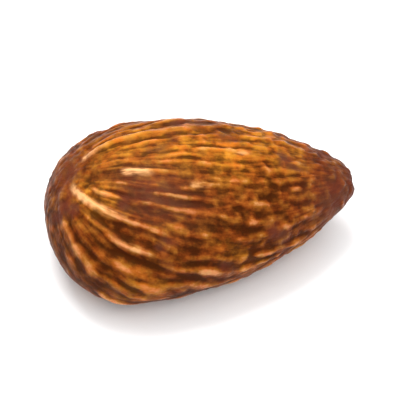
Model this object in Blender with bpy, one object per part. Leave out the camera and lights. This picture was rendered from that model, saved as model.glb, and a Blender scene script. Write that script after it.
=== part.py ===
"""A roasted almond kernel in its skin, lying on its broad side: one solid, grown as one piece.

Metres, +Z up. The long axis runs along X with the tip at +X, and the broad back looks up.
The origin is at the middle of the footprint, on the surface that the almond lies on.
"""

import math

import bmesh
import bpy
import numpy as np
from mathutils import Matrix

# Driving dimensions of the smooth kernel, without the ridges of its skin
LENGTH = 0.0230
WIDTH = 0.0140
THICKNESS = 0.0096

# Where along the length, from the blunt end, the kernel is widest, its back highest and its belly lowest
WIDEST_AT = 0.34
BACK_AT = 0.42
BELLY_AT = 0.48

# The curve of the outline: a blunt end with square shoulders, a tapering end and a small chisel nib
BLUNT_CURVE = 2.6
BLUNT_ROUND = 0.46
TIP_CURVE = 1.9
TIP_ROUND = 0.86
NIB_SHARE = 0.14
NIB_CURVE = 70.0

# How square the cross-section is, how much fuller the belly is on its +Y side,
# how far the tip droops and bends towards -Y, and how far past the tip that curve runs on
SQUARISH = 0.1
BELLY_FULLER = 0.12
TIP_DROOP = 0.0007
TIP_BEND = 0.0003
BEND_RUN = 1.3

# The spot above the middle of the blunt end that the ridges fan out from, on a unit sphere,
# and how far along that sphere the fan stays off the axis
SPOT_Y = 0.45
SPOT_Z = 0.60
FAN_REACH = 0.6

# The bold ridges: the angle in the fan in degrees, the shares of the length between which they stand,
# and their share of the full height
BOLD_RIDGES = (
    (40.0, 0.14, 0.52, 0.80),
    (71.5, 0.48, 0.72, 0.75),
    (99.0, 0.24, 0.52, 1.00),
    (110.0, 0.44, 0.66, 0.65),
    (136.0, 0.14, 0.30, 0.70),
    (155.0, 0.10, 0.44, 0.90),
    (174.0, 0.13, 0.42, 0.65),
    (199.0, 0.02, 0.26, 0.45),
    (188.0, 0.15, 0.38, 0.45),
)
RIDGE_HEIGHT = 0.00036
RIDGE_HALF_WIDTH = 0.00032
RISE_SHARE = 0.22
SINK_SHARE = 0.60

# Low ridges all round, each a row of swells end to end: their height as a share of the boldest and how much
# of it is lost towards the tip, the lengths and overlaps of the swells, and how they stray from their row
LOW_ROWS = 28
LOW_HEIGHT = (0.30, 0.60)
LOST_TO_TIP = 0.5
LOW_START = (0.01, 0.12)
LOW_LENGTH = (0.20, 0.36)
LOW_OVERLAP = (0.02, 0.10)
LOW_END = 0.92
LOW_SHIFT = 0.22
LOW_WANDER = 0.2
WANDER_TURNS = 9.0
SEED = 5

# The ridges run together at the spot, so they rise only between these distances from it on the sphere.
# A small turn in the fan, in radians, measures how far apart they are
CLEAR_OF_SPOT = (0.10, 0.40)
FAN_STEP = 0.01

# How the almond lies: rolled towards -Y, tip a little up, on a small flat spot,
# with the ridges sinking into the belly between these two heights above it
ROLL_DEG = 10.5
PITCH_DEG = 2.0
FLAT_DEPTH = 0.00020
BARE_BELOW = 0.00002
FULL_ABOVE = 0.00045
SNAP = 0.00003

# Mesh density: columns round the long axis and rings along it
COLUMNS = 156
RINGS = 37

SKIN_COLOUR = (0.305, 0.093, 0.022, 1.0)
SKIN_ROUGHNESS = 0.5


def clear_scene():
    for old in list(bpy.data.objects):
        bpy.data.objects.remove(old)


def smoothstep(low, high, x):
    share = np.clip((x - low) / (high - low), 0.0, 1.0)
    return share * share * (3.0 - 2.0 * share)


def girth(along, largest_at):
    """Half the width or thickness at a share of the length, as a share of the largest."""
    to_blunt = np.clip((largest_at - along) / largest_at, 0.0, 1.0)
    to_tip = np.clip((along - largest_at) / (1.0 - largest_at), 0.0, 1.0)
    blunt_end = (1.0 - to_blunt**BLUNT_CURVE) ** BLUNT_ROUND
    taper = (1.0 - to_tip**TIP_CURVE) ** TIP_ROUND
    nib = np.sqrt(1.0 - to_tip**NIB_CURVE)
    tip_end = (1.0 - NIB_SHARE) * taper + NIB_SHARE * nib
    return np.where(along < largest_at, blunt_end, tip_end)


def smooth_kernel(ball):
    """Points of the smooth kernel and their shares of its length, for points of a unit sphere round X.

    The sphere's blunt pole becomes the spot that the ridges fan out from.
    """
    pull = 1.0 - smoothstep(-1.0, FAN_REACH, ball[:, 0])
    leant = ball + pull[:, None] * np.array([0.0, SPOT_Y, SPOT_Z])
    leant /= np.linalg.norm(leant, axis=1)[:, None]
    along = np.clip((1.0 + leant[:, 0]) / 2.0, 0.0, 1.0)
    around = np.arctan2(leant[:, 2], leant[:, 1])
    around += SQUARISH * np.sin(2.0 * around)
    side, up = np.cos(around), np.sin(around)
    back = girth(along, BACK_AT)
    belly = girth(along, BELLY_AT) * (1.0 + BELLY_FULLER * side)
    towards_tip = smoothstep(BACK_AT, BEND_RUN, along)
    x = LENGTH * along
    y = WIDTH / 2 * girth(along, WIDEST_AT) * side - TIP_BEND * towards_tip
    z = THICKNESS / 2 * np.where(up > 0.0, back, belly) * up - TIP_DROOP * towards_tip
    return np.stack([x, y, z], axis=1), along


def stands(along, start, end):
    """How far up a ridge is that rises after its start and sinks back by its end, 0 to 1."""
    rise = RISE_SHARE * (end - start)
    sink = SINK_SHARE * (end - start)
    return smoothstep(start, start + rise, along) * (1.0 - smoothstep(end - sink, end, along))


def ridge_relief(ball):
    """Height of the skin's ridges over the smooth kernel, at points of the unit sphere."""
    points, along = smooth_kernel(ball)
    turned = smooth_kernel(ball @ np.array(Matrix.Rotation(FAN_STEP, 3, "X")))[0]
    fan_radius = np.linalg.norm(turned - points, axis=1) / FAN_STEP
    angle = np.arctan2(ball[:, 2], ball[:, 1])
    from_pole = np.hypot(ball[:, 1], ball[:, 2])

    def crest(fan_angle):
        off = (angle - fan_angle + math.pi) % (2.0 * math.pi) - math.pi
        return np.exp(-((off * fan_radius / RIDGE_HALF_WIDTH) ** 2))

    relief = np.zeros_like(along)
    for degrees, start, end, height in BOLD_RIDGES:
        relief = np.maximum(relief, height * crest(math.radians(degrees)) * stands(along, start, end))
    draw = np.random.default_rng(SEED)
    pitch = 2.0 * math.pi / LOW_ROWS
    for row in range(LOW_ROWS):
        row_angle = pitch * (row + draw.uniform(-LOW_SHIFT, LOW_SHIFT))
        phase = draw.uniform(0.0, 2.0 * math.pi)
        start = draw.uniform(*LOW_START)
        while start < LOW_END - max(LOW_OVERLAP):
            end = min(start + draw.uniform(*LOW_LENGTH), LOW_END)
            height = draw.uniform(*LOW_HEIGHT) * (1.0 - LOST_TO_TIP * start)
            wander = LOW_WANDER * pitch * np.sin(WANDER_TURNS * along + phase)
            relief = np.maximum(relief, height * crest(row_angle + wander) * stands(along, start, end))
            start = end - draw.uniform(*LOW_OVERLAP)
            row_angle += pitch * draw.uniform(-LOW_SHIFT, LOW_SHIFT)
    return RIDGE_HEIGHT * relief * smoothstep(*CLEAR_OF_SPOT, from_pole)


def lay_down(points):
    """The points turned as the almond lies on its belly, with the flat spot's plane at height 0."""
    roll = Matrix.Rotation(math.radians(ROLL_DEG), 3, "X")
    pitch = Matrix.Rotation(math.radians(-PITCH_DEG), 3, "Y")
    laid = points @ np.array(pitch @ roll).T
    laid[:, 2] -= laid[:, 2].min() + FLAT_DEPTH
    return laid


def place(vertices, points):
    for vertex, point in zip(vertices, points):
        vertex.co = point


def build_almond():
    shape = bmesh.new()
    bmesh.ops.create_uvsphere(shape, u_segments=COLUMNS, v_segments=RINGS, radius=1.0)
    # The sphere's poles go on to the long axis
    bmesh.ops.rotate(shape, verts=shape.verts, matrix=Matrix.Rotation(math.pi / 2, 3, "Y"))
    ball = np.array([vertex.co for vertex in shape.verts])
    laid = lay_down(smooth_kernel(ball)[0])
    place(shape.verts, laid)
    shape.normal_update()
    normals = np.array([vertex.normal for vertex in shape.verts])
    relief = ridge_relief(ball) * smoothstep(BARE_BELOW, FULL_ABOVE, laid[:, 2])
    place(shape.verts, laid + normals * relief[:, None])
    return shape


def cut_flat_spot(shape):
    """Cuts the belly level at height 0 and closes it with one flat face."""
    for vertex in shape.verts:
        if abs(vertex.co.z) < SNAP:
            vertex.co.z = 0.0
    geometry = shape.verts[:] + shape.edges[:] + shape.faces[:]
    cut = bmesh.ops.bisect_plane(
        shape, geom=geometry, dist=1e-6, plane_co=(0, 0, 0), plane_no=(0, 0, 1), clear_inner=True
    )
    rim = [item for item in cut["geom_cut"] if isinstance(item, bmesh.types.BMEdge)]
    bmesh.ops.contextual_create(shape, geom=rim)


def centre_footprint(shape):
    across = np.array([vertex.co for vertex in shape.verts])
    middle = (across.min(axis=0) + across.max(axis=0)) / 2.0
    bmesh.ops.translate(shape, verts=shape.verts, vec=(-middle[0], -middle[1], 0.0))


def skin_material():
    material = bpy.data.materials.new("roasted_skin")
    material.use_nodes = True
    shader = material.node_tree.nodes["Principled BSDF"]
    shader.inputs["Base Color"].default_value = SKIN_COLOUR
    shader.inputs["Roughness"].default_value = SKIN_ROUGHNESS
    shader.inputs["Metallic"].default_value = 0.0
    return material


def main():
    clear_scene()
    shape = build_almond()
    cut_flat_spot(shape)
    centre_footprint(shape)
    bmesh.ops.recalc_face_normals(shape, faces=shape.faces)
    mesh = bpy.data.meshes.new("almond")
    shape.to_mesh(mesh)
    shape.free()
    mesh.shade_smooth()
    mesh.materials.append(skin_material())
    almond = bpy.data.objects.new("almond", mesh)
    bpy.context.scene.collection.objects.link(almond)


main()
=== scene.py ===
"""A roasted almond kernel on a pale floor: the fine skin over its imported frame, the floor, lights and camera.

Metres, +Z up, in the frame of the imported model. The almond's tip points to +X.
"""

import math

import bmesh
import bpy
import numpy as np
from bpy.props import FloatProperty, FloatVectorProperty, IntProperty, PointerProperty
from mathutils import Matrix, Vector, noise


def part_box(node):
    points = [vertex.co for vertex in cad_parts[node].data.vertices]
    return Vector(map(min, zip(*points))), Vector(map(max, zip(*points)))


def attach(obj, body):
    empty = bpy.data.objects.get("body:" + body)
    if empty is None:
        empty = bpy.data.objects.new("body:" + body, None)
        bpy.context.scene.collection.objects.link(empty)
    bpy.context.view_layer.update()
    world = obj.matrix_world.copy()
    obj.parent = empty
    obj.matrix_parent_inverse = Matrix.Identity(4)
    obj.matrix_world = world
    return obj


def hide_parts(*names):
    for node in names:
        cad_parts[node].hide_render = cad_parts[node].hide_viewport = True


bl_info = {
    "name": "Roasted Almond",
    "version": (1, 0, 0),
    "blender": (4, 5, 0),
    "location": "View3D > Sidebar > Almond",
    "description": "Grows a roasted almond kernel in its ridged skin, and sets it on a pale studio floor",
    "category": "Object",
}

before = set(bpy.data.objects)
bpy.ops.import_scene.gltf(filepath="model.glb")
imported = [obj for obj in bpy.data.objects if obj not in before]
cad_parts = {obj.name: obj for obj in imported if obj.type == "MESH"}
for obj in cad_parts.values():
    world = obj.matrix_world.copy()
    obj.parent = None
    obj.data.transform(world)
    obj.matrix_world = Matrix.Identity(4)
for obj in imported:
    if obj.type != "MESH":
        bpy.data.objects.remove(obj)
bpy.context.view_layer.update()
ALMOND_LOW, ALMOND_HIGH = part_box("almond")
ALMOND_MIDDLE = (ALMOND_LOW + ALMOND_HIGH) / 2.0
MILLIMETRE = 0.001

# The bold ridges: the angle in the fan in degrees, the shares of the length between which they stand,
# and their share of the full height
BOLD_RIDGES = (
    (40.0, 0.14, 0.52, 0.80),
    (71.5, 0.48, 0.72, 0.75),
    (99.0, 0.24, 0.52, 1.00),
    (110.0, 0.44, 0.66, 0.65),
    (136.0, 0.14, 0.30, 0.70),
    (155.0, 0.10, 0.44, 0.90),
    (174.0, 0.13, 0.42, 0.65),
    (199.0, 0.02, 0.26, 0.45),
    (188.0, 0.15, 0.38, 0.45),
)
# The shares of its length over which a ridge or a stroke rises and sinks back
RISE_SHARE = 0.22
SINK_SHARE = 0.60

# Painted highlights: pale strokes along the bold ridges near their starts, laid where light would glint on
# them. The angle in the fan in degrees, the shares of the length between which they lie, and how pale they are
PAINTED_GLINT_STROKES = (
    (40.0, 0.13, 0.27, 0.62),
    (73.0, 0.60, 0.71, 0.42),
    (99.0, 0.24, 0.40, 0.90),
    (110.0, 0.45, 0.55, 0.45),
    (136.0, 0.15, 0.24, 0.40),
    (155.0, 0.06, 0.29, 0.84),
    (174.0, 0.16, 0.36, 0.40),
    (199.0, 0.04, 0.16, 0.25),
    (188.0, 0.16, 0.28, 0.20),
)

# Patches of colour: the angle in the fan in degrees, the share of the length, and the radius
# Golden patches are partly the roast's own lighter colour and partly painted light: those on the top, at 48 to
# 72 degrees in the fan, lighten it where light falls from above and behind
GOLDEN_PATCHES = (
    (71.0, 0.60, 0.0024),
    (48.0, 0.30, 0.0026),
    (62.0, 0.45, 0.0026),
    (101.0, 0.36, 0.0012),
    (152.0, 0.14, 0.0010),
    (137.0, 0.20, 0.0009),
    (50.0, 0.72, 0.0022),
    (72.0, 0.79, 0.0016),
)
PLUM_PATCHES = (
    (123.0, 0.35, 0.0026),
    (150.0, 0.93, 0.0018),
)

# Rows of low ridges, each a row of swells end to end: their height as a share of the boldest and how much
# of it is lost towards the tip, the swells' starts, lengths and overlaps, and how they stray from their row
LOW_HEIGHT = (0.30, 0.60)
LOST_TO_TIP = 0.5
LOW_START = (0.01, 0.12)
LOW_LENGTH = (0.20, 0.36)
LOW_OVERLAP = (0.02, 0.10)
LOW_END = 0.92
LOW_SHIFT = 0.22
LOW_WANDER = 0.2
WANDER_TURNS = 9.0

# The kernel is grown from a unit sphere. These are distances from its long axis: 0 at the spot that the
# ridges fan out from and at the tip, and 1 half-way. Between each two, the ridges and the pale strokes come
# clear of the spot, where they would run together, and the low ridges rise from a share of their height
RIDGES_CLEAR = (0.10, 0.40)
STROKES_CLEAR = (0.10, 0.28)
LOW_RISE = (0.30, 0.80)
LOW_AT_SPOT = 0.35

# Distances of the same kind, between which the fine wrinkles and the long folds rise from nothing,
# the rounder folds at the spot give way, and the darker and duller skin round the spot ends
FINE_RISE = (0.40, 0.85)
LONG_FOLDS_RISE = (0.20, 0.65)
NEAR_SPOT = (0.35, 0.85)
OFF_SPOT = (0.05, 0.38)

# Shares of the length between which rounder folds take over towards the tip, and the fine wrinkles fade
NEAR_TIP = (0.35, 0.75)
FINE_FADE = (0.35, 0.80)

# How far the rounder folds take over at the spot, how high the bumps are away from the tip,
# the noise between which a bump rises, and the dimple's edge as shares of its radius
ROUNDER_AT_SPOT = 0.75
BUMPS_OFF_TIP = 0.4
BUMP_RISE = (0.05, 0.55)
DIMPLE_EDGE = (0.5, 1.3)

# The relief sinks into the belly between these two heights above the flat spot, and a point this near
# the spot's plane counts as lying in it
BARE_BELOW = 0.02 * MILLIMETRE
FULL_ABOVE = 0.45 * MILLIMETRE
CUT_TOLERANCE = 0.0001 * MILLIMETRE

# Each noise in the relief starts from its own place, so that no two are alike
WAVER_START = 4.0
LONG_FOLDS_START = 11.0
CRINKLES_START = 23.0
PUCKERS_START = 29.0
SWELL_START = 37.0
BUMPS_START = 53.0

# The noises in the skin's finish: features a millimetre, octaves of detail, and how rough that detail is
GRAINS = {
    "fibres": (2.6, 3.0, 0.60),
    "blotches": (1.7, 3.0, 0.60),
    "grit": (4.5, 2.0, 0.65),
    "mottle": (0.95, 1.0, 0.50),
    "mellow": (0.22, 1.5, 0.50),
    "scorches": (0.34, 2.0, 0.50),
    "hues": (1.25, 2.0, 0.50),
}

# In the spans below, the first two numbers are the low and high ends of what is read, and the last two
# are what they become. Where these are left out, they become 0 and 1.
# What lifts a place in the colour ramp, the ramp's own span, and its colours. The ramp is partly the skin's own
# colour, darker in the grooves and lighter on the ridges, and partly painted light: shade painted into the
# grooves and a pale highlight painted on the highest folds
PROUD_GAIN = (0.0, 1.0, 0.5, 1.6)
RIDGE_LIFT = (0.0, 1.0, 0.0, 0.12)
GRAIN_LIFTS = {
    "fibres": (0.28, 0.72, -0.13, 0.13),
    "grit": (0.25, 0.75, -0.07, 0.07),
    "mottle": (0.30, 0.70, -0.13, 0.13),
}
RAMP_SPAN = (-0.51, 0.80)
RAMP_STOPS = (("groove", 0.08), ("flank", 0.38), ("crest", 0.70), ("fold", 1.0))

# Where the skin is golden, where it is plum, and how far its ends and its hues turn
MELLOW_SPAN = (0.52, 0.75, 0.0, 0.42)
GOLDEN_RAISED = (-0.35, 0.30, 0.15, 0.80)
GOLDEN_FIBRES = (0.30, 0.65, 0.65, 1.0)
SCORCHED_SPAN = (0.54, 0.72)
PLUM_RAISED = (0.0, 0.60, 0.80, 0.35)
DARK_TIP = (0.70, 1.0, 0.0, 0.60)
DARK_SPOT = (0.0, 0.9, 0.65, 0.0)
DARK_ENDS = 0.7
HUE_SPAN = (0.36, 0.64)

# How fibres and mottling break up the pale strokes of painted highlight, and how sharp and full the strokes
# then are
STROKE_FIBRES = (0.32, 0.64, 0.40, 1.0)
STROKE_MOTTLE = (0.35, 0.62, 0.70, 1.0)
STROKE_SPAN = (0.05, 0.75, 0.0, 0.90)

# How far blotches take the fibres' place at the spot, the heights that have the grooves' and the crests'
# roughness, what grit adds to it, and how fibres and grit are embossed
BLOTCHES_AT_SPOT = (0.0, 1.0, 0.0, 0.85)
ROUGH_HEIGHTS = (-0.30, 0.50)
GRIT_ROUGHNESS = (0.3, 0.7, -0.08, 0.08)
FIBRES_EMBOSSED = 0.7
EMBOSS_STRENGTH = 0.55
EMBOSS_DEPTH = 0.10 * MILLIMETRE

# The floor's faint clouds: features a metre and how dark they are, and the floor's roughness
FLOOR_CLOUDS = 30.0
FLOOR_SHADE = 0.97
FLOOR_ROUGHNESS = 0.7

# Where the lights hang, from the almond's middle
KEY_PLACE = Vector((-0.06, 0.20, 0.51))
BOX_PLACE = Vector((-0.02, 0.04, 0.49))
FILL_PLACE = Vector((0.10, -0.34, 0.42))


def length_setting(name, description, default):
    return FloatProperty(
        name=name, description=description, default=default, precision=6, unit="LENGTH"
    )


def share_setting(name, description, default):
    return FloatProperty(name=name, description=description, default=default, min=0.0, max=1.0)


def plain_setting(name, description, default):
    return FloatProperty(name=name, description=description, default=default)


def angle_setting(name, description, degrees):
    return FloatProperty(
        name=name, description=description, default=math.radians(degrees), unit="ROTATION"
    )


def power_setting(name, description, default):
    return FloatProperty(name=name, description=description, default=default, unit="POWER")


def count_setting(name, description, default, least=0):
    return IntProperty(name=name, description=description, default=default, min=least)


def colour_setting(name, description, default):
    return FloatVectorProperty(
        name=name, description=description, default=default, size=3, min=0.0, max=1.0, subtype="COLOR"
    )


class KernelSettings(bpy.types.PropertyGroup):
    """The form of the smooth kernel, how it lies, and how fine its mesh is."""

    length: length_setting("Length", "From the blunt end to the tip", 0.0230)
    width: length_setting("Width", "Across the broad face, without the ridges", 0.0140)
    thickness: length_setting("Thickness", "Through the thin direction, without the ridges", 0.0096)
    widest_at: share_setting("Widest at", "Share of the length at which it is widest", 0.34)
    back_at: share_setting("Back at", "Share of the length at which the back is highest", 0.42)
    belly_at: share_setting("Belly at", "Share of the length at which the belly is lowest", 0.48)
    blunt_curve: plain_setting("Blunt curve", "How square the blunt end's shoulders are", 2.6)
    blunt_round: plain_setting("Blunt round", "How round the blunt end closes", 0.46)
    tip_curve: plain_setting("Tip curve", "How full the tapering half is", 1.9)
    tip_round: plain_setting("Tip round", "How blunt the taper runs out", 0.86)
    nib_share: share_setting("Nib share", "Width of the small chisel nib at the tip", 0.14)
    nib_curve: plain_setting("Nib curve", "How square the nib ends", 70.0)
    squarish: share_setting("Squarish", "How square the cross-section is", 0.1)
    belly_fuller: share_setting("Belly fuller", "How much fuller the belly is on its far side", 0.12)
    tip_droop: length_setting("Tip droop", "How far the tip hangs below the axis", 0.0007)
    tip_bend: length_setting("Tip bend", "How far the tip bends towards the viewer", 0.0003)
    bend_run: plain_setting("Bend run", "How far past the tip the droop's and bend's curve runs on", 1.3)
    roll: angle_setting("Roll", "Turn towards the viewer", 10.5)
    pitch: angle_setting("Pitch", "How far the tip is lifted", 2.0)
    flat_depth: length_setting("Flat depth", "How deep the resting spot is cut into the belly", 0.00020)
    columns: count_setting("Columns", "Faces round the long axis", 400, 24)
    rings: count_setting("Rings", "Rings of points along the long axis", 244, 12)


class RidgeSettings(bpy.types.PropertyGroup):
    """The ridges that fan out from a spot above the middle of the blunt end."""

    spot_y: plain_setting("Spot Y", "How far the spot lies across from the blunt end's middle", 0.45)
    spot_z: plain_setting("Spot Z", "How far the spot lies above the blunt end's middle", 0.60)
    fan_reach: plain_setting("Fan reach", "How far along the kernel the fan stays off the axis", 0.6)
    rows: count_setting("Rows", "Rows of low ridges round the kernel", 28, 3)
    height: length_setting("Height", "Height of the boldest ridges", 0.00036)
    half_width: length_setting("Half width", "Half the width of a ridge", 0.00032)
    seed: count_setting("Seed", "Draw of the low ridges", 5)
    fine_rows: count_setting("Fine rows", "Rows of fine wrinkles round the kernel", 34, 3)
    fine_height: length_setting("Fine height", "Height of the highest fine wrinkles", 0.00012)
    fine_half_width: length_setting("Fine half width", "Half the width of a fine wrinkle", 0.00021)
    fine_lost: share_setting("Fine lost", "Share of the fine wrinkles' height lost by the tip", 0.75)
    fine_seed: count_setting("Fine seed", "Draw of the fine wrinkles", 12)


class SkinSettings(bpy.types.PropertyGroup):
    """The small relief of the skin on and between the ridges."""

    fold_size: length_setting("Fold size", "Width of the long folds of the dried skin", 0.00150)
    fold_stretch: plain_setting("Fold stretch", "Length of a long fold over its width", 3.2)
    fold_height: length_setting("Fold height", "Height of the long folds over their creases", 0.00019)
    pucker_size: length_setting("Pucker size", "Width of the rounder folds", 0.00130)
    pucker_stretch: plain_setting("Pucker stretch", "Length of a rounder fold over its width", 1.9)
    pucker_height: length_setting("Pucker height", "Height of the rounder folds", 0.00014)
    bump_size: length_setting("Bump size", "Size of the small round bumps", 0.00062)
    bump_height: length_setting("Bump height", "Height of the small round bumps", 0.00008)
    crinkle_size: length_setting("Crinkle size", "Size of the small crinkles", 0.00040)
    crinkle_height: length_setting("Crinkle height", "Height of the small crinkles", 0.00003)
    swell_size: length_setting("Swell size", "Size of the kernel's slow unevenness", 0.0045)
    swell_height: length_setting("Swell height", "Height of the slow unevenness", 0.00008)
    waver: plain_setting("Waver", "How far the ridges waver sideways, in radians", 0.032)
    waver_size: length_setting("Waver size", "Length of that waver", 0.0022)
    proud_reach: length_setting("Proud reach", "How far round a place its height is compared", 0.00060)
    spot_radius: length_setting("Spot radius", "Radius of the dimple where the ridges meet", 0.0007)
    spot_depth: length_setting("Spot depth", "Depth of that dimple", 0.00012)


class FinishSettings(bpy.types.PropertyGroup):
    """Colours and gloss of the roasted skin."""

    gloss: share_setting("Gloss", "Strength of the skin's shine", 0.12)
    gloss_tint: colour_setting("Gloss tint", "Colour of the skin's shine", (1.0, 0.62, 0.20))
    # Groove: partly the skin's own dark colour and partly painted shade in the grooves
    groove: colour_setting("Groove", "Skin deep between the ridges", (0.042, 0.0080, 0.0009))
    flank: colour_setting("Flank", "Skin on the sides of the ridges", (0.143, 0.034, 0.0042))
    crest: colour_setting("Crest", "Skin along the tops of the ridges", (0.290, 0.092, 0.0120))
    # Fold: partly the skin's own lighter colour and partly a painted highlight on the highest folds
    fold: colour_setting("Fold", "Skin on the highest folds", (0.560, 0.245, 0.0950))
    # The colour of the painted highlights: pale peach laid along the bold ridges where light would glint on
    # them
    painted_glint: colour_setting("Rubbed", "Skin rubbed pale along the bold ridges", (0.880, 0.450, 0.1900))
    # Golden: partly the roast's own lighter colour and partly painted light that lightens the top
    golden: colour_setting("Golden", "Patches that were roasted least", (0.640, 0.235, 0.0180))
    plum: colour_setting("Plum", "Patches that were roasted darkest", (0.100, 0.028, 0.0175))
    rust: colour_setting("Rust", "Tint of the redder places", (1.00, 0.76, 0.72))
    straw: colour_setting("Straw", "Tint of the yellower places", (0.97, 1.00, 0.92))
    groove_roughness: share_setting("Groove roughness", "Roughness of the skin in the grooves", 0.62)
    crest_roughness: share_setting("Crest roughness", "Roughness of the skin on the ridges", 0.30)


class StageSettings(bpy.types.PropertyGroup):
    """The floor, the lights and the camera."""

    floor: colour_setting("Floor", "Colour of the pale floor", (0.94, 0.94, 0.945))
    floor_size: length_setting("Floor size", "Side of the floor", 1.2)
    key_power: power_setting("Key power", "Power of the high key light", 2.00)
    key_size: length_setting("Key size", "Side of the key light", 0.26)
    box_power: power_setting("Box power", "Power of the overhead soft box", 3.0)
    box_size: length_setting("Box size", "Side of the overhead soft box", 0.80)
    fill_power: power_setting("Fill power", "Power of the front fill light", 1.25)
    fill_size: length_setting("Fill size", "Side of the front fill light", 0.35)
    sky: plain_setting("Sky", "Strength of the even light from all round", 0.38)
    azimuth: angle_setting("Azimuth", "Camera's turn from -Y", -11.8)
    elevation: angle_setting("Elevation", "Camera's height angle", 52.0)
    distance: length_setting("Distance", "From the camera to the almond's middle", 0.335)
    view_width: length_setting("View width", "What the camera sees across at the almond", 0.0295)


def smoothstep(low, high, x):
    share = np.clip((x - low) / (high - low), 0.0, 1.0)
    return share * share * (3.0 - 2.0 * share)


def girth(kernel, along, largest_at):
    """Half the width or thickness at a share of the length, as a share of the largest."""
    to_blunt = np.clip((largest_at - along) / largest_at, 0.0, 1.0)
    to_tip = np.clip((along - largest_at) / (1.0 - largest_at), 0.0, 1.0)
    blunt_end = (1.0 - to_blunt**kernel.blunt_curve) ** kernel.blunt_round
    taper = (1.0 - to_tip**kernel.tip_curve) ** kernel.tip_round
    nib = np.sqrt(1.0 - to_tip**kernel.nib_curve)
    tip_end = (1.0 - kernel.nib_share) * taper + kernel.nib_share * nib
    return np.where(along < largest_at, blunt_end, tip_end)


def kernel_points(kernel, along, around):
    """Points of the smooth kernel at shares of its length and angles round its axis."""
    spread = around + kernel.squarish * np.sin(2.0 * around)
    side, up = np.cos(spread), np.sin(spread)
    back = girth(kernel, along, kernel.back_at)
    belly = girth(kernel, along, kernel.belly_at) * (1.0 + kernel.belly_fuller * side)
    towards_tip = smoothstep(kernel.back_at, kernel.bend_run, along)
    x = kernel.length * along
    y = kernel.width / 2 * girth(kernel, along, kernel.widest_at) * side - kernel.tip_bend * towards_tip
    z = kernel.thickness / 2 * np.where(up > 0.0, back, belly) * up - kernel.tip_droop * towards_tip
    return np.stack([x, y, z], axis=-1)


def fan_sphere(rings, columns):
    """Rings of a unit sphere round X, as rings by columns by 3. Its poles are the end rings."""
    polar = np.linspace(0.0, math.pi, rings)[:, None]
    turn = np.linspace(-math.pi, math.pi, columns, endpoint=False)[None, :]
    x = -np.cos(polar) * np.ones_like(turn)
    return np.stack([x, np.sin(polar) * np.cos(turn), np.sin(polar) * np.sin(turn)], axis=-1)


def lean(ridge, ball):
    """Moves a unit sphere's blunt pole on to the spot that the ridges fan out from."""
    pull = 1.0 - smoothstep(-1.0, ridge.fan_reach, ball[..., 0])
    leant = ball + pull[..., None] * np.array([0.0, ridge.spot_y, ridge.spot_z])
    return leant / np.linalg.norm(leant, axis=-1)[..., None]


def stands(along, start, end):
    """How far up a ridge or stroke is that rises after its start and sinks by its end, 0 to 1."""
    rise = RISE_SHARE * (end - start)
    sink = SINK_SHARE * (end - start)
    return smoothstep(start, start + rise, along) * (1.0 - smoothstep(end - sink, end, along))


def crest(angle, fan_radius, fan_angle, half_width):
    """Cross-section of a ridge or stroke that lies at an angle in the fan, 0 to 1."""
    off = (angle - fan_angle + math.pi) % (2.0 * math.pi) - math.pi
    return np.exp(-((off * fan_radius / half_width) ** 2))


def marks(table, angle, fan_radius, along, half_width):
    """Bold ridges or pale strokes from their table, 0 to 1."""
    cover = np.zeros_like(along)
    for degrees, start, end, strength in table:
        profile = crest(angle, fan_radius, math.radians(degrees), half_width)
        cover = np.maximum(cover, strength * profile * stands(along, start, end))
    return cover


def patches(spots, angle, fan_radius, distance, length):
    """How far places lie inside round patches of colour, 0 to 1."""
    cover = np.zeros_like(angle)
    for degrees, share, radius in spots:
        off = (angle - math.radians(degrees) + math.pi) % (2.0 * math.pi) - math.pi
        away = np.hypot(off * fan_radius, distance - share * length)
        cover = np.maximum(cover, np.exp(-((away / radius) ** 2)))
    return cover


def low_ridges(angle, fan_radius, along, rows, half_width, seed):
    """Rows of low ridges or fine wrinkles, as a share of a full height."""
    relief = np.zeros_like(along)
    draw = np.random.default_rng(seed)
    pitch = 2.0 * math.pi / rows
    for row in range(rows):
        row_angle = pitch * (row + draw.uniform(-LOW_SHIFT, LOW_SHIFT))
        phase = draw.uniform(0.0, 2.0 * math.pi)
        start = draw.uniform(*LOW_START)
        while start < LOW_END - max(LOW_OVERLAP):
            end = min(start + draw.uniform(*LOW_LENGTH), LOW_END)
            height = draw.uniform(*LOW_HEIGHT) * (1.0 - LOST_TO_TIP * start)
            wander = LOW_WANDER * pitch * np.sin(WANDER_TURNS * along + phase)
            profile = crest(angle, fan_radius, row_angle + wander, half_width)
            relief = np.maximum(relief, height * profile * stands(along, start, end))
            start = end - draw.uniform(*LOW_OVERLAP)
            row_angle += pitch * draw.uniform(-LOW_SHIFT, LOW_SHIFT)
    return relief


def noise_field(places, size, start, octaves=1, folded=False):
    """Smooth noise, about -1 to 1, or folds from 0 to 1 with narrow creases between them."""
    flat = (places / size + start).reshape(-1, 3)
    total = np.zeros(len(flat))
    for octave in range(octaves):
        layer = np.array([noise.noise(place) for place in (flat * 2.0**octave).tolist()])
        total += (np.abs(layer) * 2.0 if folded else layer) * 0.5**octave
    return (total / (2.0 - 0.5 ** (octaves - 1))).reshape(places.shape[:-1])


def blurred(field, reach):
    """The field averaged over cells up to reach away, round the kernel and along it."""
    steps = range(-reach, reach + 1)
    round_it = sum(np.roll(field, step, axis=1) for step in steps) / len(steps)
    padded = np.pad(round_it, ((reach, reach), (0, 0)), mode="edge")
    return sum(padded[reach + step : reach + step + len(field)] for step in steps) / len(steps)


def turned_to_lie(kernel, points):
    """The points turned as the almond lies on its belly."""
    roll = Matrix.Rotation(kernel.roll, 3, "X")
    pitch = Matrix.Rotation(-kernel.pitch, 3, "Y")
    return points @ np.array(pitch @ roll).T


def outward(points):
    """Unit normals of a grid of rings by columns, pointing out."""
    along = np.gradient(points, axis=0)
    round_it = np.roll(points, -1, axis=1) - np.roll(points, 1, axis=1)
    normals = np.cross(round_it, along)
    normals[0] = normals[1].mean(axis=0)
    normals[-1] = normals[-2].mean(axis=0)
    return normals / np.linalg.norm(normals, axis=-1)[..., None]


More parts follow.
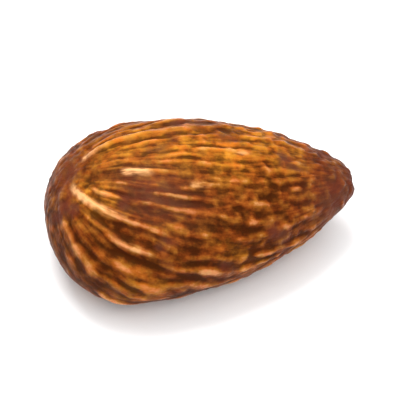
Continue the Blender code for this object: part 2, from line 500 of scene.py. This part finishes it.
def ridge_relief(ridge, angle, fan_radius, along, from_pole):
    """The bold and the low ridges, as a share of the boldest ridge's height."""
    low = low_ridges(angle, fan_radius, along, ridge.rows, ridge.half_width, ridge.seed)
    low = low * (LOW_AT_SPOT + (1.0 - LOW_AT_SPOT) * smoothstep(*LOW_RISE, from_pole))
    bold = marks(BOLD_RIDGES, angle, fan_radius, along, ridge.half_width)
    return np.maximum(low, bold) * smoothstep(*RIDGES_CLEAR, from_pole)


def fine_wrinkles(ridge, angle, fan_radius, along, from_pole):
    """The rows of fine wrinkles between the ridges, in metres."""
    fine = low_ridges(angle, fan_radius, along, ridge.fine_rows, ridge.fine_half_width, ridge.fine_seed)
    fine = fine * (1.0 - ridge.fine_lost * smoothstep(*FINE_FADE, along))
    return ridge.fine_height * fine * smoothstep(*FINE_RISE, from_pole)


def small_relief(skin, smooth, fan_place, from_pole, near_tip, near_spot):
    """The folds, bumps, crinkles and slow swell of the skin, in metres."""
    # Folds run from 0 to 1, so half is taken off to set them about the smooth kernel
    long_folds = noise_field(fan_place, skin.fold_size, LONG_FOLDS_START, octaves=2, folded=True)
    long_folds = skin.fold_height * (long_folds - 0.5) * smoothstep(*LONG_FOLDS_RISE, from_pole)
    pucker_place = smooth / np.array([skin.pucker_stretch, 1.0, 1.0])
    puckers = noise_field(pucker_place, skin.pucker_size, PUCKERS_START, octaves=2, folded=True)
    puckers = skin.pucker_height * (puckers - 0.5)
    rounder = np.maximum(near_tip, ROUNDER_AT_SPOT * near_spot)
    folds = long_folds * (1.0 - rounder) + puckers * rounder
    bumps = smoothstep(*BUMP_RISE, noise_field(smooth, skin.bump_size, BUMPS_START))
    bumps = skin.bump_height * bumps * (BUMPS_OFF_TIP + (1.0 - BUMPS_OFF_TIP) * near_tip)
    crinkles = skin.crinkle_height * noise_field(smooth, skin.crinkle_size, CRINKLES_START)
    swell = skin.swell_height * noise_field(smooth, skin.swell_size, SWELL_START)
    return folds + bumps + crinkles + swell


def almond_surface(kernel, ridge, skin):
    """The almond's points as a grid of rings by columns, and the fields that its colours follow."""
    ball = fan_sphere(kernel.rings, kernel.columns)
    leant = lean(ridge, ball)
    along = np.clip((1.0 + leant[..., 0]) / 2.0, 0.0, 1.0)
    smooth = kernel_points(kernel, along, np.arctan2(leant[..., 2], leant[..., 1]))
    laid = turned_to_lie(kernel, smooth)
    laid[..., 2] -= laid[..., 2].min() + kernel.flat_depth

    # Each place's angle in the fan, and how far from the fan's axis it lies, which is the way between the
    # points on either side of it over the turn between them
    waver = skin.waver * noise_field(smooth, skin.waver_size, WAVER_START)
    angle = np.arctan2(ball[..., 2], ball[..., 1]) + waver
    beside = np.roll(smooth, -1, axis=1) - np.roll(smooth, 1, axis=1)
    fan_radius = np.linalg.norm(beside, axis=-1) * kernel.columns / (4.0 * math.pi)
    # The same place for a grain that follows the fan: on a hoop of the kernel's mean girth, and down the fan
    half_girth = (kernel.width + kernel.thickness) / 4.0
    down_fan = along * kernel.length / skin.fold_stretch
    fan_place = np.stack([half_girth * np.cos(angle), half_girth * np.sin(angle), down_fan], axis=-1)

    from_pole = np.hypot(ball[..., 1], ball[..., 2])
    at_blunt = (ball[..., 0] < 0.0).astype(float)
    near_spot = at_blunt * (1.0 - smoothstep(*NEAR_SPOT, from_pole))
    near_tip = smoothstep(*NEAR_TIP, along)
    inner, outer = (share * skin.spot_radius for share in DIMPLE_EDGE)
    dimple = at_blunt * (1.0 - smoothstep(inner, outer, fan_radius))

    ridges = ridge_relief(ridge, angle, fan_radius, along, from_pole)
    relief = ridge.height * ridges - skin.spot_depth * dimple
    relief += fine_wrinkles(ridge, angle, fan_radius, along, from_pole)
    relief += small_relief(skin, smooth, fan_place, from_pole, near_tip, near_spot)
    relief *= smoothstep(BARE_BELOW, FULL_ABOVE, laid[..., 2])
    points = laid + outward(laid) * relief[..., None]

    cell = 2.0 * math.pi * half_girth / kernel.columns
    proud = (relief - blurred(relief, round(skin.proud_reach / cell))) / ridge.height
    # Painted highlights: pale strokes along the bold ridges, where light would glint on them
    strokes = marks(PAINTED_GLINT_STROKES, angle, fan_radius, along, ridge.half_width)
    distance = along * kernel.length
    fields = {
        "proud": proud,
        "ridge": ridges,
        "painted_glint": strokes * smoothstep(*STROKES_CLEAR, from_pole),
        "spot": dimple,
        "along": along,
        "fan": fan_place / MILLIMETRE,
        "off_spot": smoothstep(*OFF_SPOT, from_pole),
        "near_spot": near_spot,
        "golden": patches(GOLDEN_PATCHES, angle, fan_radius, distance, kernel.length),
        "plum": patches(PLUM_PATCHES, angle, fan_radius, distance, kernel.length),
    }
    return points, fields


def closed_mesh(name, points, fields):
    """A closed mesh of the grid, with each field as an attribute of its points.

    The grid's end rings become single points.
    """
    rings, columns = points.shape[:2]

    def pick(grid):
        body = grid[1:-1].reshape((-1,) + grid.shape[2:])
        return np.concatenate([grid[:1, 0], body, grid[-1:, 0]])

    last = 1 + (rings - 2) * columns
    faces = []
    for column in range(columns):
        beside = (column + 1) % columns
        faces.append((0, 1 + beside, 1 + column))
        for ring in range(rings - 3):
            near = 1 + ring * columns
            far = near + columns
            faces.append((near + column, near + beside, far + beside, far + column))
        near = 1 + (rings - 3) * columns
        faces.append((near + column, near + beside, last))
    mesh = bpy.data.meshes.new(name)
    mesh.from_pydata(pick(points).tolist(), [], faces)
    for field_name, field in fields.items():
        values = pick(field)
        kind, entry = ("FLOAT_VECTOR", "vector") if values.ndim == 2 else ("FLOAT", "value")
        attribute = mesh.attributes.new(field_name, kind, "POINT")
        attribute.data.foreach_set(entry, values.astype(np.float32).ravel())
    return mesh


def cut_level(mesh):
    """Cuts the belly level at height 0 and closes it with a flat face."""
    shape = bmesh.new()
    shape.from_mesh(mesh)
    bmesh.ops.recalc_face_normals(shape, faces=shape.faces)
    geometry = shape.verts[:] + shape.edges[:] + shape.faces[:]
    cut = bmesh.ops.bisect_plane(
        shape, geom=geometry, dist=CUT_TOLERANCE, plane_co=(0, 0, 0), plane_no=(0, 0, 1), clear_inner=True
    )
    rim = [item for item in cut["geom_cut"] if isinstance(item, bmesh.types.BMEdge)]
    flat = bmesh.ops.contextual_create(shape, geom=rim)
    bmesh.ops.triangulate(shape, faces=flat["faces"])
    shape.to_mesh(mesh)
    shape.free()


def linked(material, kind, **values):
    """Adds a node to the material, with its settings and its inputs' values or links.

    An input goes by its name, or by i and its number.
    """
    tree = material.node_tree
    node = tree.nodes.new(kind)
    for name, value in values.items():
        if hasattr(node, name) and not isinstance(value, bpy.types.NodeSocket):
            setattr(node, name, value)
            continue
        by_number = name[0] == "i" and name[1:].isdigit()
        socket = node.inputs[int(name[1:])] if by_number else node.inputs[name]
        if isinstance(value, bpy.types.NodeSocket):
            tree.links.new(value, socket)
        else:
            socket.default_value = value
    return node


def feed(material, name, value):
    """Links the value to an input of the material's own shader."""
    shader = material.node_tree.nodes["Principled BSDF"]
    material.node_tree.links.new(value, shader.inputs[name])


def opaque(colour):
    return (*colour, 1.0)


def field_of(material, name):
    """The output of an Attribute node that reads one of the surface's fields."""
    node = linked(material, "ShaderNodeAttribute", attribute_type="GEOMETRY", attribute_name=name)
    return node.outputs["Vector"] if name == "fan" else node.outputs["Fac"]


def ranged(material, value, low, high, to_low=0.0, to_high=1.0):
    """The value taken from one range to another, held at its ends."""
    node = linked(material, "ShaderNodeMapRange", i0=value, i1=low, i2=high, i3=to_low, i4=to_high)
    node.interpolation_type = "SMOOTHSTEP"
    return node.outputs["Result"]


def combined(material, operation, first, second):
    return linked(material, "ShaderNodeMath", operation=operation, i0=first, i1=second).outputs[0]


def grain(material, place, scale, detail=2.0, roughness=0.5):
    """Noise of about scale features to each unit of the place."""
    node = linked(
        material, "ShaderNodeTexNoise", Vector=place, Scale=scale, Detail=detail, Roughness=roughness
    )
    return node.outputs["Fac"]


def blended(material, share, under, over):
    """The over colour laid on the under colour by the share."""
    node = linked(material, "ShaderNodeMix", data_type="RGBA", i0=share, i6=under, i7=over)
    return node.outputs[2]


def tinted(material, colour, tint):
    """The colour multiplied by the tint."""
    node = linked(
        material, "ShaderNodeMix", data_type="RGBA", blend_type="MULTIPLY", i0=1.0, i6=colour, i7=tint
    )
    return node.outputs[2]


def skin_grains(material):
    """The noises in the skin's colour, by name. Fibres follow the fan, and the others fill space evenly."""
    fan = field_of(material, "fan")
    solid = linked(material, "ShaderNodeTexCoord").outputs["Object"]
    scaled = linked(
        material, "ShaderNodeVectorMath", operation="SCALE", i0=solid, Scale=1.0 / MILLIMETRE
    )
    place = scaled.outputs[0]
    grains = {}
    for name, (scale, detail, roughness) in GRAINS.items():
        grains[name] = grain(material, fan if name == "fibres" else place, scale, detail, roughness)
    # Fibres turn to blotches where the fan closes up at its spot
    share = ranged(material, field_of(material, "near_spot"), *BLOTCHES_AT_SPOT)
    mix = linked(material, "ShaderNodeMix", i0=share, i2=grains["fibres"], i3=grains["blotches"])
    grains["fibres"] = mix.outputs[0]
    return grains


def skin_height(material, grains):
    """How high the skin stands: from the relief, and from noises too fine for the mesh."""
    gain = ranged(material, field_of(material, "off_spot"), *PROUD_GAIN)
    raised = combined(material, "MULTIPLY", field_of(material, "proud"), gain)
    lift = ranged(material, field_of(material, "ridge"), *RIDGE_LIFT)
    raised = combined(material, "ADD", raised, lift)
    for name, span in GRAIN_LIFTS.items():
        raised = combined(material, "ADD", raised, ranged(material, grains[name], *span))
    return raised


def ramp_colour(material, finish, raised):
    """The skin's colour by its height, from its grooves to its highest folds: partly the skin's own colour,
    partly painted shade in the grooves and a painted highlight on the highest folds.
    """
    ramp = linked(material, "ShaderNodeValToRGB", Fac=ranged(material, raised, *RAMP_SPAN))
    stops = ramp.color_ramp.elements
    for _, position in RAMP_STOPS[1:-1]:
        stops.new(position)
    for stop, (name, position) in zip(stops, RAMP_STOPS):
        stop.position = position
        stop.color = opaque(getattr(finish, name))
    return ramp.outputs["Color"]


def skin_colour(material, finish, grains, raised):
    """The colour by height, partly painted shade and highlight, with golden patches that are partly painted
    light on the top, plum patches, dark ends, shifting hues and pale strokes of painted highlight.
    """
    colour = ramp_colour(material, finish, raised)
    # Golden patches: mellow noise and listed patches, partly painted light on the top
    mellow = ranged(material, grains["mellow"], *MELLOW_SPAN)
    golden = combined(material, "MAXIMUM", mellow, field_of(material, "golden"))
    golden = combined(material, "MULTIPLY", golden, ranged(material, raised, *GOLDEN_RAISED))
    golden = combined(material, "MULTIPLY", golden, ranged(material, grains["fibres"], *GOLDEN_FIBRES))
    colour = blended(material, golden, colour, opaque(finish.golden))

    scorched = ranged(material, grains["scorches"], *SCORCHED_SPAN)
    plum = combined(material, "MAXIMUM", scorched, field_of(material, "plum"))
    plum = combined(material, "MULTIPLY", plum, ranged(material, raised, *PLUM_RAISED))
    colour = blended(material, plum, colour, opaque(finish.plum))

    ends = ranged(material, field_of(material, "along"), *DARK_TIP)
    ends = combined(material, "MAXIMUM", ends, field_of(material, "spot"))
    ends = combined(material, "MAXIMUM", ends, ranged(material, field_of(material, "off_spot"), *DARK_SPOT))
    ends = combined(material, "MULTIPLY", ends, DARK_ENDS)
    colour = blended(material, ends, colour, opaque(finish.plum))

    turn = ranged(material, grains["hues"], *HUE_SPAN)
    hue = blended(material, turn, opaque(finish.rust), opaque(finish.straw))
    colour = tinted(material, colour, hue)

    # Painted highlight: the pale strokes, broken up by fibres and mottling, laid over the colour
    painted_glint = ranged(material, grains["fibres"], *STROKE_FIBRES)
    painted_glint = combined(material, "MULTIPLY", field_of(material, "painted_glint"), painted_glint)
    painted_glint = combined(material, "MULTIPLY", painted_glint, ranged(material, grains["mottle"], *STROKE_MOTTLE))
    return blended(material, ranged(material, painted_glint, *STROKE_SPAN), colour, opaque(finish.painted_glint))


def roasted_skin(finish):
    """Red-brown seed skin: dark in its grooves, partly with painted shade, orange on its ridges with painted
    highlights on the highest folds and strokes, patchy, satin on the crests.
    """
    material = bpy.data.materials.new("roasted_skin")
    material.use_nodes = True
    shader = material.node_tree.nodes["Principled BSDF"]
    shader.inputs["Specular IOR Level"].default_value = finish.gloss
    shader.inputs["Specular Tint"].default_value = opaque(finish.gloss_tint)
    grains = skin_grains(material)
    raised = skin_height(material, grains)
    feed(material, "Base Color", skin_colour(material, finish, grains, raised))

    rough = ranged(material, raised, *ROUGH_HEIGHTS, finish.groove_roughness, finish.crest_roughness)
    rough = combined(material, "ADD", rough, ranged(material, grains["grit"], *GRIT_ROUGHNESS))
    feed(material, "Roughness", rough)
    height = combined(material, "MULTIPLY", grains["fibres"], FIBRES_EMBOSSED)
    height = combined(material, "ADD", height, grains["grit"])
    bump = linked(
        material, "ShaderNodeBump", Strength=EMBOSS_STRENGTH, Distance=EMBOSS_DEPTH, Height=height
    )
    feed(material, "Normal", bump.outputs["Normal"])
    return material


def pale_floor(stage):
    """Matt pale board with the faintest unevenness."""
    material = bpy.data.materials.new("pale_floor")
    material.use_nodes = True
    shader = material.node_tree.nodes["Principled BSDF"]
    shader.inputs["Roughness"].default_value = FLOOR_ROUGHNESS
    place = linked(material, "ShaderNodeTexCoord").outputs["Object"]
    clouds = grain(material, place, FLOOR_CLOUDS)
    shade = tuple(FLOOR_SHADE * channel for channel in stage.floor)
    feed(material, "Base Color", blended(material, clouds, opaque(shade), opaque(stage.floor)))
    return material


class ALMOND_OT_kernel(bpy.types.Operator):
    """Grow the almond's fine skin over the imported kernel"""

    bl_idname = "almond.kernel"
    bl_label = "Kernel"
    bl_options = {"REGISTER", "UNDO"}

    def execute(self, context):
        scene = context.scene
        points, fields = almond_surface(scene.almond_kernel, scene.almond_ridges, scene.almond_skin)
        mesh = closed_mesh("almond_skin", points, fields)
        cut_level(mesh)
        mesh.shade_smooth()
        places = np.array([vertex.co for vertex in mesh.vertices])
        own_middle = Vector((places.min(axis=0) + places.max(axis=0)) / 2.0)
        shift = ALMOND_MIDDLE - own_middle
        mesh.transform(Matrix.Translation((shift.x, shift.y, 0.0)))
        mesh.materials.append(roasted_skin(scene.almond_finish))
        almond = bpy.data.objects.new("almond_skin", mesh)
        scene.collection.objects.link(almond)
        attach(almond, "root")
        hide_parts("almond")
        return {"FINISHED"}


class ALMOND_OT_stage(bpy.types.Operator):
    """Set the floor, the lights and the camera"""

    bl_idname = "almond.stage"
    bl_label = "Stage"
    bl_options = {"REGISTER", "UNDO"}

    def execute(self, context):
        scene = context.scene
        stage = scene.almond_stage
        self.lay_floor(scene, stage)
        self.hang_lights(scene, stage)
        self.aim_camera(scene, stage)
        return {"FINISHED"}

    def lay_floor(self, scene, stage):
        half = stage.floor_size / 2.0
        mesh = bpy.data.meshes.new("floor")
        corners = [(-half, -half, 0.0), (half, -half, 0.0), (half, half, 0.0), (-half, half, 0.0)]
        mesh.from_pydata(corners, [], [(0, 1, 2, 3)])
        mesh.materials.append(pale_floor(stage))
        floor = bpy.data.objects.new("floor", mesh)
        scene.collection.objects.link(floor)

    def hang_lights(self, scene, stage):
        self.hang_light(scene, "key", stage.key_power, stage.key_size, KEY_PLACE)
        self.hang_light(scene, "box", stage.box_power, stage.box_size, BOX_PLACE)
        self.hang_light(scene, "fill", stage.fill_power, stage.fill_size, FILL_PLACE)
        world = bpy.data.worlds.new("studio")
        world.use_nodes = True
        background = world.node_tree.nodes["Background"]
        background.inputs["Color"].default_value = (1.0, 1.0, 1.0, 1.0)
        background.inputs["Strength"].default_value = stage.sky
        scene.world = world

    def hang_light(self, scene, name, power, size, place):
        lamp = bpy.data.lights.new(name, "AREA")
        lamp.energy = power
        lamp.size = size
        light = bpy.data.objects.new(name, lamp)
        scene.collection.objects.link(light)
        light.location = ALMOND_MIDDLE + place
        light.rotation_euler = (-place).to_track_quat("-Z", "Y").to_euler()

    def aim_camera(self, scene, stage):
        level = math.cos(stage.elevation)
        right = math.sin(stage.azimuth) * level
        ahead = -math.cos(stage.azimuth) * level
        back = Vector((right, ahead, math.sin(stage.elevation)))
        data = bpy.data.cameras.new("camera")
        data.lens = data.sensor_width * stage.distance / stage.view_width
        camera = bpy.data.objects.new("camera", data)
        scene.collection.objects.link(camera)
        camera.location = ALMOND_MIDDLE + back * stage.distance
        camera.rotation_euler = (-back).to_track_quat("-Z", "Y").to_euler()
        scene.camera = camera
        scene.view_settings.view_transform = "Standard"


class ALMOND_PT_panel(bpy.types.Panel):
    """The almond's steps and settings in the 3D view's sidebar"""

    bl_idname = "ALMOND_PT_panel"
    bl_label = "Roasted Almond"
    bl_space_type = "VIEW_3D"
    bl_region_type = "UI"
    bl_category = "Almond"

    def draw(self, context):
        for step in STEPS:
            self.layout.operator(step.bl_idname, text=step.bl_label)
        for name in SETTINGS:
            box = self.layout.box()
            group = getattr(context.scene, name)
            box.label(text=name.replace("almond_", "").capitalize())
            for setting in group.__annotations__:
                box.prop(group, setting)


SETTINGS = {
    "almond_kernel": KernelSettings,
    "almond_ridges": RidgeSettings,
    "almond_skin": SkinSettings,
    "almond_finish": FinishSettings,
    "almond_stage": StageSettings,
}
STEPS = (ALMOND_OT_kernel, ALMOND_OT_stage)
CLASSES = (*SETTINGS.values(), *STEPS, ALMOND_PT_panel)


def register():
    for cls in CLASSES:
        bpy.utils.register_class(cls)
    for name, group in SETTINGS.items():
        setattr(bpy.types.Scene, name, PointerProperty(type=group))


def unregister():
    for name in SETTINGS:
        delattr(bpy.types.Scene, name)
    for cls in reversed(CLASSES):
        bpy.utils.unregister_class(cls)


def main():
    register()
    bpy.ops.almond.kernel()
    bpy.ops.almond.stage()


if __name__ == "__main__":
    main()
